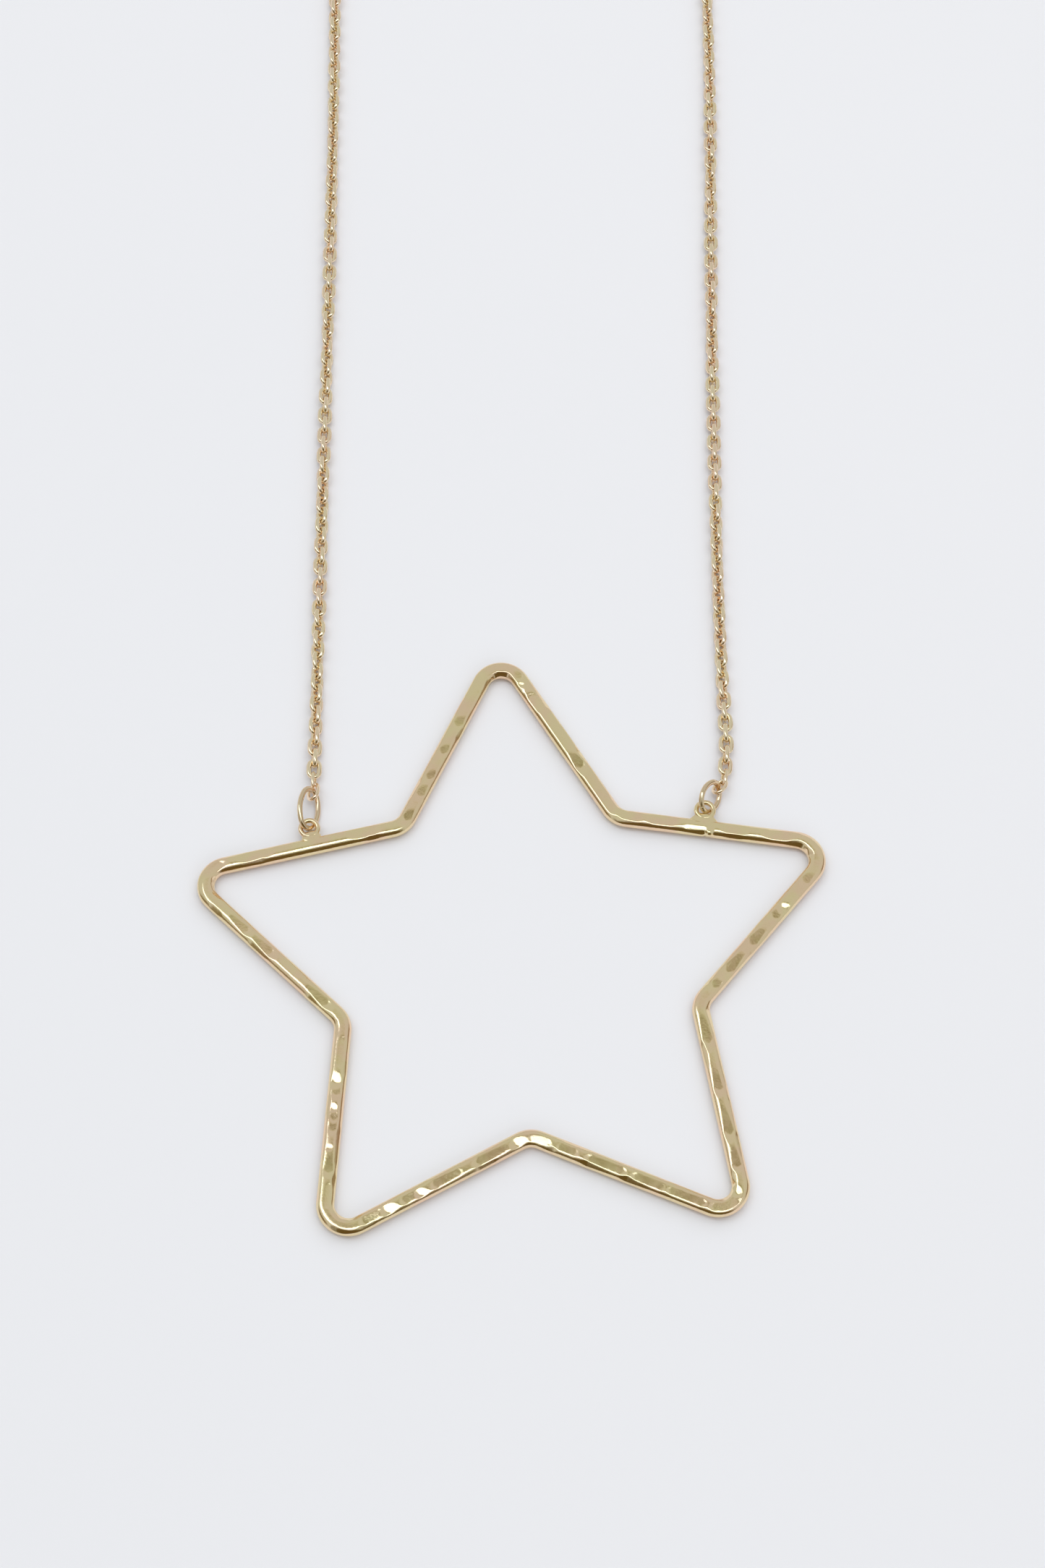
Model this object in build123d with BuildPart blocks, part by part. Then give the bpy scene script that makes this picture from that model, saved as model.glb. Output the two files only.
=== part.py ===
from build123d import *
import os
from math import atan2, cos, degrees, hypot, pi, radians, sin, tan

os.makedirs("parts", exist_ok=True)

# A star pendant necklace that lies face up on a table. Millimetres, +Z up, the table at z = 0.
# The star's top tip points to +Y and the chain loop runs on from it. The origin is at the
# middle of the whole necklace, on the table.

# Star, bent from one round rod that is hammered flatter on its face
tip_count = 5
star_tip_radius = 34.0
star_valley_radius = 18.05
corner_radius = 2.2
wire_width = 1.75
wire_thickness = 1.45
face_edge_radius = 0.6
back_edge_radius = 0.3

# Hammer marks: shallow hollows at shares of each side, leaning across the wire in degrees
mark_radius = 5.0
mark_depth = 0.11
mark_shares = (0.15, 0.29, 0.42, 0.56, 0.71, 0.85)
mark_leans = (10, -24, 16, -8, 28, -18, 4)

# Seam where the rod's two ends meet, as a share of the right shoulder from its inner corner
seam_share = 0.405
seam_width = 0.16
seam_depth = 0.14

# Hanging loops soldered to the outer side of both shoulders
loop_diameter = 2.2
loop_wire = 0.38
loop_sink = 0.12
loop_height = 1.05
left_loop_share = 0.411
right_loop_share = 0.393
solder_radius = 0.42
solder_inset = 0.1
solder_drop = 0.2

# Oval jump rings that stand through the loops and rest with one long side on the table.
# A heading turns clockwise from +Y, and the seat is where the ring crosses the loop's hole
jump_ring_wire = 0.54
jump_ring_width = 3.05
jump_ring_end_radius = 1.0
left_ring_length = 4.7
left_ring_heading = 7
left_ring_slope = 2
left_ring_lean = 48
left_ring_seat = (-0.22, 0.02)
right_ring_length = 3.75
right_ring_heading = 29
right_ring_slope = 0
right_ring_lean = 51
right_ring_seat = (-0.12, -0.06)

# Last link of each strand, bent a little wider so that it takes a ring. A link's seat is how far
# its centre lies to the right of the ring's far end, beyond it and below it
end_link_length = 2.1
end_link_width = 1.65
end_link_wire = 0.38
end_link_end_radius = 0.55
star_link_lean = -38
left_link_heading = 3
left_link_slope = -27
left_link_seat = (0.235, -0.35, 0.13)
right_link_heading = 35
right_link_slope = -10
right_link_seat = (0.36, 0.03, 0.335)
clasp_link_lean = -48
clasp_link_seat = (0.0, 0.1, 0.1)

# Fine cable chain: a plain tube of the links' outer size stands for the links.
# The routes hold the chosen points of each strand, from the star's centre
chain_diameter = 1.4
arc_share = 0.45
left_route = [
    (-18.65, 31.0),
    (-17.6, 50.5),
    (-15.6, 85.0),
    (-13.7, 124.0),
    (-13.05, 160.0),
    (-12.9, 196.0),
    (-12.6, 217.3),
    (-10.1, 222.7),
    (-5.5, 226.6),
    (-1.2, 228.0),
]
right_route = [
    (22.4, 21.5),
    (22.5, 26.5),
    (22.8, 34.0),
    (23.6, 48.0),
    (25.5, 75.0),
    (29.0, 115.0),
    (30.2, 152.0),
    (29.9, 187.0),
    (28.7, 217.3),
    (26.1, 222.7),
    (21.9, 226.5),
    (17.7, 228.0),
]

# Spring-ring clasp at the back of the neck, with the ring on either side of it
clasp_place = (9.05, 228.0)
clasp_radius = 2.4
clasp_tube = 1.0
clasp_gap = 0.18
clasp_eye_radius = 0.95
clasp_eye_wire = 0.5
clasp_eye_sink = 0.3
knob_diameter = 0.7
knob_length = 1.1
knob_angle = 50
clasp_ring_radius = 1.24
clasp_ring_wire = 0.52
clasp_ring_lean = 55
clasp_ring_seat = -0.15
end_ring_radius = 1.85
end_ring_wire = 0.52
end_ring_lean = 50
end_ring_seat = 0.45

# Places worked out from the sizes
half_step = 180 / tip_count
tip_half_angle = atan2(
    star_valley_radius * sin(radians(half_step)),
    star_tip_radius - star_valley_radius * cos(radians(half_step)),
)
tip_bend_centre = star_tip_radius - corner_radius / sin(tip_half_angle)
star_foot = tip_bend_centre * cos(radians(half_step)) + corner_radius + wire_width / 2
loop_top = clasp_place[1] + clasp_radius + clasp_tube / 2
star_centre = Vector(0, (star_foot - loop_top) / 2, 0)
clasp_height = end_ring_wire + clasp_gap + clasp_tube / 2
clasp_centre = star_centre + Vector(*clasp_place, clasp_height)


def polar(radius, angle):
    """A point at a distance from the star's centre, its angle in degrees from +X."""
    return star_centre + Vector(radius * cos(radians(angle)), radius * sin(radians(angle)), 0)


def heading_vector(heading, slope=0):
    """Unit vector that turns clockwise from +Y by the heading and climbs by the slope."""
    turn, rise = radians(heading), radians(slope)
    return Vector(sin(turn) * cos(rise), cos(turn) * cos(rise), sin(rise))


def leaning_plane(centre, heading, slope, lean):
    """Plane of a ring: x runs along it and y leans up to the left of its heading."""
    along = heading_vector(heading, slope)
    left = heading_vector(heading - 90)
    tilt = radians(lean)
    return Plane(centre, x_dir=along, z_dir=along.cross(left) * cos(tilt) - left * sin(tilt))


def oval_side_radius(length, width, end_radius):
    """Radius of an oval's long side arcs, which meet its end arcs smoothly."""
    reach = length / 2 - end_radius
    return (reach**2 + (width / 2) ** 2 - end_radius**2) / (2 * (width / 2 - end_radius))


def oval_depth(length, width, end_radius, slope, lean):
    """How far an oval's centreline reaches below its centre when it slopes and leans."""
    side_radius = oval_side_radius(length, width, end_radius)
    end_centre = length / 2 - end_radius
    side_centre = side_radius - width / 2
    down_along = abs(sin(radians(slope)))
    down_across = abs(sin(radians(lean)) * cos(radians(slope)))
    steepness = hypot(down_along, down_across)
    if atan2(down_across, down_along) < atan2(side_centre, end_centre):
        return end_centre * down_along + end_radius * steepness
    return side_radius * steepness - side_centre * down_across


def oval_ring(plane, length, width, end_radius, wire):
    """A closed oval of round wire, its length and width taken along the wire's centre."""
    side_radius = oval_side_radius(length, width, end_radius)
    end_centre = length / 2 - end_radius
    side_centre = side_radius - width / 2
    end_span = degrees(atan2(side_centre, end_centre))
    with BuildPart() as ring:
        with BuildLine(plane) as oval:
            CenterArc((end_centre, 0), end_radius, -end_span, 2 * end_span)
            CenterArc((0, -side_centre), side_radius, end_span, 180 - 2 * end_span)
            CenterArc((-end_centre, 0), end_radius, 180 - end_span, 2 * end_span)
            CenterArc((0, side_centre), side_radius, 180 + end_span, 180 - 2 * end_span)
        path = oval.wire()
        with BuildSketch(Plane(path @ 0, z_dir=path % 0)):
            Circle(wire / 2)
        sweep(path=path)
    return ring.part


def jump_ring(loop_centre, length, heading, slope, lean, seat):
    """A hanging loop's jump ring, and the point of its far end that takes the chain."""
    inner_length = length - jump_ring_wire
    inner_width = jump_ring_width - jump_ring_wire
    shape = (inner_length, inner_width, jump_ring_end_radius)
    along = heading_vector(heading, slope)
    near = loop_centre + Vector(*seat)
    height = jump_ring_wire / 2 + oval_depth(*shape, slope, lean)
    level = near + along * (inner_length / 2)
    centre = Vector(level.X, level.Y, height)
    ring = oval_ring(leaning_plane(centre, heading, slope, lean), *shape, jump_ring_wire)
    return ring, centre + along * (inner_length / 2)


def end_link(ring_end, heading, slope, lean, seat):
    """A strand's last link through a ring, and its far end, where the chain goes on."""
    length = end_link_length - end_link_wire
    width = end_link_width - end_link_wire
    aside, beyond, below = seat
    level = heading_vector(heading + 90) * aside + heading_vector(heading) * beyond
    centre = ring_end + level - Vector(0, 0, below)
    plane = leaning_plane(centre, heading, slope, lean)
    link = oval_ring(plane, length, width, end_link_end_radius, end_link_wire)
    return link, centre + heading_vector(heading, slope) * (length / 2)


def chain_strand(name, first_link, first_end, route, last_end, last_link):
    """One strand: its two end links, and a tube along straight runs joined by arcs."""
    table_points = [star_centre + Vector(x, y, chain_diameter / 2) for x, y in route]
    points = [first_end, *table_points, last_end]
    radii = []
    for before, corner, after in zip(points, points[1:], points[2:]):
        turn = radians((corner - before).get_angle(after - corner))
        shorter_run = min((corner - before).length, (after - corner).length)
        radii.append(arc_share * shorter_run / tan(turn / 2))
    with BuildPart() as strand:
        with BuildLine() as line:
            FilletPolyline(*points, radius=radii)
        path = line.wire()
        with BuildSketch(Plane(path @ 0, z_dir=path % 0)):
            Circle(chain_diameter / 2)
        sweep(path=path)
        tube_volume = strand.part.volume
        add(first_link)
        add(last_link)
    section = pi * (chain_diameter / 2) ** 2
    print(name, "length", round(path.length, 1), "tightest arc", round(min(radii), 1))
    print(name, "tube volume", round(tube_volume, 2), "section x length", round(section * path.length, 2))
    return strand.part, path.length


def write_piece(name, shape):
    """Label a finished piece and write it as one STEP file."""
    shape.label = name
    export_step(shape, f"parts/{name}.step")


# Star corners in turn, starting at the right shoulder's inner corner
corners = []
for index in range(tip_count):
    corners.append(polar(star_valley_radius, 90 - half_step + 2 * half_step * index))
    corners.append(polar(star_tip_radius, 90 + 2 * half_step * index))
left_inner, left_tip = corners[2], corners[3]
right_inner, right_tip = corners[0], corners[-1]


def shoulder_point(inner, tip, share, outward):
    """A point beside a shoulder: a share of it from its inner corner, and out from the star."""
    run = tip - inner
    out = run.cross(Vector(0, 0, 1)).normalized()
    if out.Y < 0:
        out = out * -1
    return inner + run * share + out * outward


loop_offset = wire_width / 2 + loop_diameter / 2 - loop_sink
left_loop = shoulder_point(left_inner, left_tip, left_loop_share, loop_offset)
right_loop = shoulder_point(right_inner, right_tip, right_loop_share, loop_offset)
loop_level = Vector(0, 0, loop_height)
solder_offset = loop_offset - loop_diameter / 2 - solder_inset
left_solder = shoulder_point(left_inner, left_tip, left_loop_share, solder_offset)
right_solder = shoulder_point(right_inner, right_tip, right_loop_share, solder_offset)
solder_level = Vector(0, 0, loop_height - solder_drop)


def hammer_marks(side):
    """Centres of the hammer head's marks along one side of the star."""
    start, end = corners[side], corners[(side + 1) % len(corners)]
    across = (end - start).cross(Vector(0, 0, 1)).normalized()
    reach = wire_thickness / 2 + mark_radius - mark_depth
    places = []
    for number, share in enumerate(mark_shares):
        lean = radians(mark_leans[(side + 2 * number) % len(mark_leans)])
        lift = across * sin(lean) * reach + Vector(0, 0, wire_thickness / 2 + cos(lean) * reach)
        places.append(start + (end - start) * share + lift)
    return places


# Hammered star with its two hanging loops
seam_centre = shoulder_point(right_inner, right_tip, seam_share, 0)
seam_run = right_tip - right_inner

with BuildPart() as star_frame:
    with BuildSketch() as outline:
        with BuildLine():
            FilletPolyline(*corners, radius=[corner_radius] * len(corners), close=True)
        make_face()
        inside = offset(amount=-wire_width / 2, mode=Mode.PRIVATE)
        offset(amount=wire_width / 2, mode=Mode.REPLACE)
        add(inside, mode=Mode.SUBTRACT)
    extrude(amount=wire_thickness)
    fillet(star_frame.faces().sort_by(Axis.Z)[-1].edges(), face_edge_radius)
    fillet(star_frame.faces().sort_by(Axis.Z)[0].edges(), back_edge_radius)
    for side in range(len(corners)):
        with Locations(*hammer_marks(side)):
            Sphere(mark_radius, mode=Mode.SUBTRACT)
    with Locations(Plane(seam_centre + Vector(0, 0, wire_thickness), x_dir=seam_run)):
        Box(seam_width, 2 * wire_width, 2 * seam_depth, mode=Mode.SUBTRACT)
    with Locations(left_loop + loop_level, right_loop + loop_level):
        Torus((loop_diameter - loop_wire) / 2, loop_wire / 2)
    with Locations(left_solder + solder_level, right_solder + solder_level):
        Sphere(solder_radius)
write_piece("star_frame", star_frame.part)

# Jump rings on the star
left_ring, left_ring_end = jump_ring(
    left_loop + loop_level,
    left_ring_length,
    left_ring_heading,
    left_ring_slope,
    left_ring_lean,
    left_ring_seat,
)
write_piece("jump_ring_left", left_ring)
right_ring, right_ring_end = jump_ring(
    right_loop + loop_level,
    right_ring_length,
    right_ring_heading,
    right_ring_slope,
    right_ring_lean,
    right_ring_seat,
)
write_piece("jump_ring_right", right_ring)

# Spring-ring clasp: a closed ring with an eye on its left and a thumb knob
eye_reach = clasp_radius + clasp_tube / 2 + clasp_eye_radius + clasp_eye_wire / 2 - clasp_eye_sink
eye_centre = clasp_centre - Vector(eye_reach, 0, 0)
knob_along = Vector(cos(radians(knob_angle)), -sin(radians(knob_angle)), 0)
with BuildPart() as clasp:
    with Locations(clasp_centre):
        Torus(clasp_radius, clasp_tube / 2)
    with Locations(eye_centre):
        Torus(clasp_eye_radius, clasp_eye_wire / 2)
    with BuildSketch(Plane(clasp_centre + knob_along * clasp_radius, z_dir=knob_along)):
        Circle(knob_diameter / 2)
    extrude(amount=knob_length)
write_piece("clasp", clasp.part)


def round_ring(near, heading, lean, radius, wire):
    """A round ring that rests on the table, and its far end. Near is where it is threaded."""
    along = heading_vector(heading)
    height = wire / 2 + radius * sin(radians(lean))
    centre = Vector(near.X, near.Y, height) + along * radius
    with BuildPart() as ring:
        with Locations(leaning_plane(centre, heading, 0, lean).location):
            Torus(radius, wire / 2)
    return ring.part, centre + along * radius


clasp_ring, clasp_ring_end = round_ring(
    eye_centre - Vector(clasp_ring_seat, 0, 0), -90, clasp_ring_lean, clasp_ring_radius, clasp_ring_wire
)
write_piece("clasp_ring", clasp_ring)
end_ring, end_ring_end = round_ring(
    clasp_centre + Vector(end_ring_seat, 0, 0), 90, end_ring_lean, end_ring_radius, end_ring_wire
)
write_piece("end_ring", end_ring)

# Chain strands
left_first, left_start = end_link(
    left_ring_end, left_link_heading, left_link_slope, star_link_lean, left_link_seat
)
left_last, left_stop = end_link(clasp_ring_end, -90, 0, clasp_link_lean, clasp_link_seat)
left_chain, left_length = chain_strand(
    "chain_left", left_first, left_start, left_route, left_stop, left_last
)
write_piece("chain_left", left_chain)
right_first, right_start = end_link(
    right_ring_end, right_link_heading, right_link_slope, star_link_lean, right_link_seat
)
right_last, right_stop = end_link(end_ring_end, 90, 0, clasp_link_lean, clasp_link_seat)
right_chain, right_length = chain_strand(
    "chain_right", right_first, right_start, right_route, right_stop, right_last
)
write_piece("chain_right", right_chain)

# Length of the whole chain with its rings and clasp, from one hanging loop to the other
joins = [left_start - left_loop, right_stop - left_stop, right_loop - right_start]
fittings = sum(join.length for join in joins)
print("chain from loop to loop", round(left_length + right_length + fittings, 1))
print("star centre", star_centre.Y, "clasp height", clasp_height)
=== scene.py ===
"""Looks of the star pendant necklace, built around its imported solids. Metres, +Z up."""

from math import atan2, ceil, cos, hypot, pi, radians, sin, tan

import bpy
import numpy as np
from mathutils import Matrix, Vector


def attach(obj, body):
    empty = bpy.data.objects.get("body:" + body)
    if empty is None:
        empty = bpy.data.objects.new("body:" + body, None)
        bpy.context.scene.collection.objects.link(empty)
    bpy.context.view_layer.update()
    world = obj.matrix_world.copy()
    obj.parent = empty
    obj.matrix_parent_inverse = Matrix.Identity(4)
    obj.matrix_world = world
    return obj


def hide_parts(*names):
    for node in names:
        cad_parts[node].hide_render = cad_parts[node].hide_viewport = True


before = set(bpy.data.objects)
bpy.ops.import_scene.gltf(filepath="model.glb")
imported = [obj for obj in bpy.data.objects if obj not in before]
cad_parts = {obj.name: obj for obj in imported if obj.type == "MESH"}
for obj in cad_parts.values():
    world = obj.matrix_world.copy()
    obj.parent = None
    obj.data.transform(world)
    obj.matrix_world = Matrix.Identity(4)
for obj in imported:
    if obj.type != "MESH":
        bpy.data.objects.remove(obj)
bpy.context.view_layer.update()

MM = 0.001

# The star, as in the solids
STAR_CENTRE = Vector((0, -102.0137, 0)) * MM
TIP_COUNT = 5
TIP_RADIUS = 34.0 * MM
VALLEY_RADIUS = 18.05 * MM
CORNER_RADIUS = 2.2 * MM
WIRE_WIDTH = 1.75 * MM
WIRE_THICKNESS = 1.45 * MM

# The rod's section, repeated at most one step apart. It is an oval a little squarer than an ellipse,
# whose power is 2, and its points are closer on the top, which reaches this share of a half turn
STATION_STEP = 0.137 * MM
SECTION_POWER = 2.1
TOP_POINTS = 44
UNDER_POINTS = 13
TOP_REACH = 0.56

# Hanging loops on both shoulders, as in the solids but of fuller wire
LOOP_DIAMETER = 2.2 * MM
LOOP_WIRE = 0.50 * MM
LOOP_SINK = 0.12 * MM
LOOP_HEIGHT = 1.05 * MM
LEFT_LOOP_SHARE = 0.411
RIGHT_LOOP_SHARE = 0.393
LOOP_STEPS = 64
LOOP_SIDES = 16

# Jump rings, as in the solids. Headings turn clockwise from +Y, in degrees
JUMP_RING_WIRE = 0.54 * MM
JUMP_RING_WIDTH = 3.05 * MM
JUMP_RING_END_RADIUS = 1.0 * MM
JUMP_RING_CUT = 0.05 * MM
JUMP_RING_STEPS = 96
JUMP_RING_SIDES = 16

# Links of the fine cable chain. The slack is the play between neighbours on a straight run. Where
# links turn or a strand bends, neighbours cut each other by up to 0.06 mm, and by more at its ends.
# The jitter is the share of a quarter turn by which each link is turned at random, at most
LINK_LENGTH = 2.23 * MM
LINK_WIDTH = 1.60 * MM
LINK_WIRE = 0.49 * MM
LINK_SIDE_WIRE = 0.52 * MM
LINK_END_RADIUS = 0.50 * MM
LINK_SLACK = 0.015 * MM
LINK_JITTER = 0.06
LINK_STEPS = 24
LINK_SIDES = 8

# The first link of a strand is smaller and lies lower, so it clears the jump ring
FIRST_LINK_LENGTH = 1.98 * MM
FIRST_LINK_WIDTH = 1.34 * MM
FIRST_LINK_WIRE = 0.36 * MM
FIRST_LINK_END_RADIUS = 0.44 * MM
FIRST_LINK_DROP = 0.12 * MM

# The wider links that end each strand. The one at the left jump ring is stretched
END_LINK_LENGTH = 2.1 * MM
END_LINK_WIDTH = 1.65 * MM
END_LINK_WIRE = 0.38 * MM
END_LINK_END_RADIUS = 0.55 * MM
END_LINK_STEPS = 32
END_LINK_SIDES = 12
STAR_LINK_LEAN = -38
CLASP_LINK_LEAN = -48
LEFT_STAR_LINK_STRETCH = 0.38 * MM

# Height of the strands' centreline, which is the radius of the solids' tubes
CHAIN_RADIUS = 0.7 * MM

# Steps of a route's smooth line between two of its points
ROUTE_STEPS = 48

# Routes of both strands, the solids' own points from the star's centre in mm.
# The first and the last point are the far ends of the end links
LEFT_ROUTE = [
    (-19.34, 19.292, 0.757),
    (-18.65, 31.0, 0.7),
    (-17.6, 50.5, 0.7),
    (-15.6, 85.0, 0.7),
    (-13.7, 124.0, 0.7),
    (-13.05, 160.0, 0.7),
    (-12.9, 196.0, 0.7),
    (-12.6, 217.3, 0.7),
    (-10.1, 222.7, 0.7),
    (-5.5, 226.6, 0.7),
    (-1.2, 228.0, 0.7),
    (1.96, 228.0, 1.176),
]
RIGHT_ROUTE = [
    (21.726, 18.075, 0.761),
    (22.4, 21.5, 0.7),
    (22.5, 26.5, 0.7),
    (22.8, 34.0, 0.7),
    (23.6, 48.0, 0.7),
    (25.5, 75.0, 0.7),
    (29.0, 115.0, 0.7),
    (30.2, 152.0, 0.7),
    (29.9, 187.0, 0.7),
    (28.7, 217.3, 0.7),
    (26.1, 222.7, 0.7),
    (21.9, 226.5, 0.7),
    (17.7, 228.0, 0.7),
    (14.16, 228.0, 1.577),
]

# Slow twist of each strand. Each row: distance along it in mm, quarter turns of the links there.
# Every second link lies flat where the number is whole
LEFT_TWIST = [
    (-0.9, -0.533),
    (1.6, 0.0),
    (5.0, 0.25),
    (12.0, 0.5),
    (19.0, 0.75),
    (23.3, 1.0),
    (27.0, 1.3),
    (34.0, 1.55),
    (39.0, 1.85),
    (43.0, 2.05),
    (48.0, 2.35),
    (55.0, 2.6),
    (62.0, 3.0),
    (68.0, 3.3),
    (78.0, 3.5),
    (88.0, 3.7),
    (96.0, 3.65),
    (120.0, 4.5),
    (216.0, 9.5),
]
RIGHT_TWIST = [
    (-0.9, 0.467),
    (1.2, 0.15),
    (3.5, 0.0),
    (7.9, -0.12),
    (11.9, -0.45),
    (28.9, -0.6),
    (33.9, -0.86),
    (40.9, -1.0),
    (47.9, -1.14),
    (52.9, -1.5),
    (58.9, -1.85),
    (63.9, -2.0),
    (68.9, -2.15),
    (74.9, -2.6),
    (81.4, -3.0),
    (86.9, -3.35),
    (100.9, -3.6),
    (216.0, -8.5),
]


def polar(radius, angle):
    """A point at a distance from the star's centre, its angle in degrees from +X."""
    return STAR_CENTRE + Vector((cos(radians(angle)), sin(radians(angle)), 0)) * radius


def heading_vector(heading, slope=0):
    """Unit vector that turns clockwise from +Y by the heading and climbs by the slope."""
    turn, rise = radians(heading), radians(slope)
    return Vector((sin(turn) * cos(rise), cos(turn) * cos(rise), sin(rise)))


def leaning_frame(centre, heading, slope, lean):
    """Placement of a ring: x runs along it and y leans up to the left of its heading."""
    along = heading_vector(heading, slope)
    left = heading_vector(heading - 90)
    tilt = radians(lean)
    normal = along.cross(left) * cos(tilt) - left * sin(tilt)
    across = normal.cross(along)
    placement = Matrix((along, across, normal)).transposed().to_4x4()
    placement.translation = centre
    return placement


# Meshes


def grid_faces(rows, columns, closed_rows=True):
    """Quads of a grid of points that is closed across its columns, and along its rows if asked."""
    row = np.arange(rows if closed_rows else rows - 1)[:, None]
    column = np.arange(columns)[None, :]
    next_row = (row + 1) % rows
    next_column = (column + 1) % columns
    corners = (
        row * columns + column,
        row * columns + next_column,
        next_row * columns + next_column,
        next_row * columns + column,
    )
    return np.stack(np.broadcast_arrays(*corners), -1).reshape(-1, 4)


def new_piece(name, parts, material):
    """One smooth mesh object from a list of (points, faces)."""
    points, faces, start = [], [], 0
    for part_points, part_faces in parts:
        points.append(part_points)
        faces.extend([[index + start for index in face] for face in part_faces])
        start += len(part_points)
    mesh = bpy.data.meshes.new(name)
    mesh.from_pydata(np.concatenate(points).tolist(), [], faces)
    mesh.shade_smooth()
    mesh.materials.append(material)
    piece = bpy.data.objects.new(name, mesh)
    bpy.context.scene.collection.objects.link(piece)
    return piece


def placed(points, placement):
    """Points moved by a placement matrix."""
    turn = np.array(placement.to_3x3())
    return points @ turn.T + np.array(placement.translation)


def oval_line(angles, length, width, end_radius):
    """Centreline points and outward directions of an oval of four arcs, at the given angles."""
    reach = length / 2 - end_radius
    side_radius = (reach**2 + (width / 2) ** 2 - end_radius**2) / (2 * (width / 2 - end_radius))
    side_centre = side_radius - width / 2
    end_span = atan2(side_centre, reach)
    out = np.stack([np.cos(angles), np.sin(angles)], -1)
    at_end = np.abs(np.sin(angles)) < sin(end_span)
    end_points = out * end_radius + np.stack([np.sign(out[:, 0]) * reach, 0 * angles], -1)
    side_points = out * side_radius - np.stack([0 * angles, np.sign(out[:, 1]) * side_centre], -1)
    return np.where(at_end[:, None], end_points, side_points), out


def wire_ring(line, out, wire, side_wire, sides):
    """A wire round a flat centreline, as wide as side_wire where it runs along the ring."""
    # Taken in this order, the points give faces that look inward
    turn = np.arange(sides) * 2 * pi / sides
    level = np.zeros((len(line), 1))
    centre = np.concatenate([line, level], -1)[:, None, :]
    outward = np.concatenate([out, level], -1)[:, None, :]
    half_width = (wire + (side_wire - wire) * out[:, 1] ** 2)[:, None, None] / 2
    upward = np.array([0, 0, wire / 2])
    swing = outward * half_width * np.cos(turn)[None, :, None] + upward * np.sin(turn)[None, :, None]
    return (centre + swing).reshape(-1, 3)


def closed_ring(placement, length, width, end_radius, wire, side_wire, steps, sides):
    """A closed oval link or ring."""
    angles = (np.arange(steps) + 0.5) * 2 * pi / steps
    line, out = oval_line(angles, length - wire, width - side_wire, end_radius)
    points = wire_ring(line, out, wire, side_wire, sides)
    return placed(points, placement), grid_faces(steps, sides)


# The star's centreline: corners in turn from the right shoulder's inner corner, counterclockwise
half_step = 180 / TIP_COUNT
corners = []
for index in range(TIP_COUNT):
    corners.append(polar(VALLEY_RADIUS, 90 - half_step + 2 * half_step * index))
    corners.append(polar(TIP_RADIUS, 90 + 2 * half_step * index))
left_inner, left_tip = corners[2], corners[3]
right_inner, right_tip = corners[0], corners[-1]
RIGHT_SHOULDER, LEFT_SHOULDER = 9, 2


def corner_turn(index):
    """Signed turn of the path at a corner, in radians."""
    before = corners[index] - corners[index - 1]
    after = corners[(index + 1) % len(corners)] - corners[index]
    return atan2(before.cross(after).z, before.dot(after))


def bend_length(index):
    """Length of the centreline's bend at a corner."""
    return CORNER_RADIUS * abs(corner_turn(index))


def bend_reach(index):
    """How far from the corner its bend starts and ends."""
    return CORNER_RADIUS * tan(abs(corner_turn(index)) / 2)


def star_stations():
    """Points, headings and distances along the closed centreline, from the middle of corner 0."""
    places, tangents, distances, starts = [], [], [], []
    travelled = 0.0
    for side, start in enumerate(corners):
        following = (side + 1) % len(corners)
        along = (corners[following] - start).normalized()
        straight = (corners[following] - start).length - bend_reach(side) - bend_reach(following)
        half_first, half_last = bend_length(side) / 2, bend_length(following) / 2
        starts.append(travelled)
        run = half_first + straight + half_last
        count = ceil(run / STATION_STEP)
        for step in range(count):
            distance = run * step / count
            if distance < half_first:
                place, tangent = bend_point(side, distance)
            elif distance < half_first + straight:
                place = start + along * (bend_reach(side) + distance - half_first)
                tangent = along
            else:
                place, tangent = bend_point(following, distance - run)
            places.append(place)
            tangents.append(tangent)
            distances.append(travelled + distance)
        travelled += run
    return np.array(places), np.array(tangents), np.array(distances), starts, travelled


def bend_point(index, distance):
    """Point and heading on a corner's bend, at a distance from the middle of the bend."""
    turn = corner_turn(index)
    before = (corners[index] - corners[index - 1]).normalized()
    side = Vector((-before.y, before.x, 0)) * (1 if turn > 0 else -1)
    centre = corners[index] - before * bend_reach(index) + side * CORNER_RADIUS
    angle = turn / 2 + (distance / CORNER_RADIUS) * (1 if turn > 0 else -1)
    rotation = Matrix.Rotation(angle, 3, "Z")
    return centre - rotation @ side * CORNER_RADIUS, rotation @ before


def star_section():
    """Round section of the rod: points (across, up) and outward normals, closest on its top."""
    top = np.linspace(-TOP_REACH, TOP_REACH, TOP_POINTS)
    under = np.linspace(TOP_REACH, 2 - TOP_REACH, UNDER_POINTS + 2)[1:-1]
    angles = np.concatenate([top, under]) * pi
    power = 2 / SECTION_POWER
    across = WIRE_WIDTH / 2 * np.sign(np.sin(angles)) * np.abs(np.sin(angles)) ** power
    up = WIRE_THICKNESS / 2 * np.sign(np.cos(angles)) * np.abs(np.cos(angles)) ** power
    points = np.stack([across, up], -1)
    half_size = np.array([WIRE_WIDTH / 2, WIRE_THICKNESS / 2])
    slope = np.abs(points / half_size) ** (SECTION_POWER - 1)
    normals = np.sign(points) * slope / half_size
    normals /= np.linalg.norm(normals, axis=1)[:, None]
    return points, normals


def side_place(side, share):
    """Distance along the centreline of a place at a share of a side, from its first corner."""
    following = (side + 1) % len(corners)
    length = (corners[following] - corners[side]).length
    return side_starts[side] + bend_length(side) / 2 + share * length - bend_reach(side)


places, tangents, distances, side_starts, star_length = star_stations()
section, section_normals = star_section()

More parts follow.
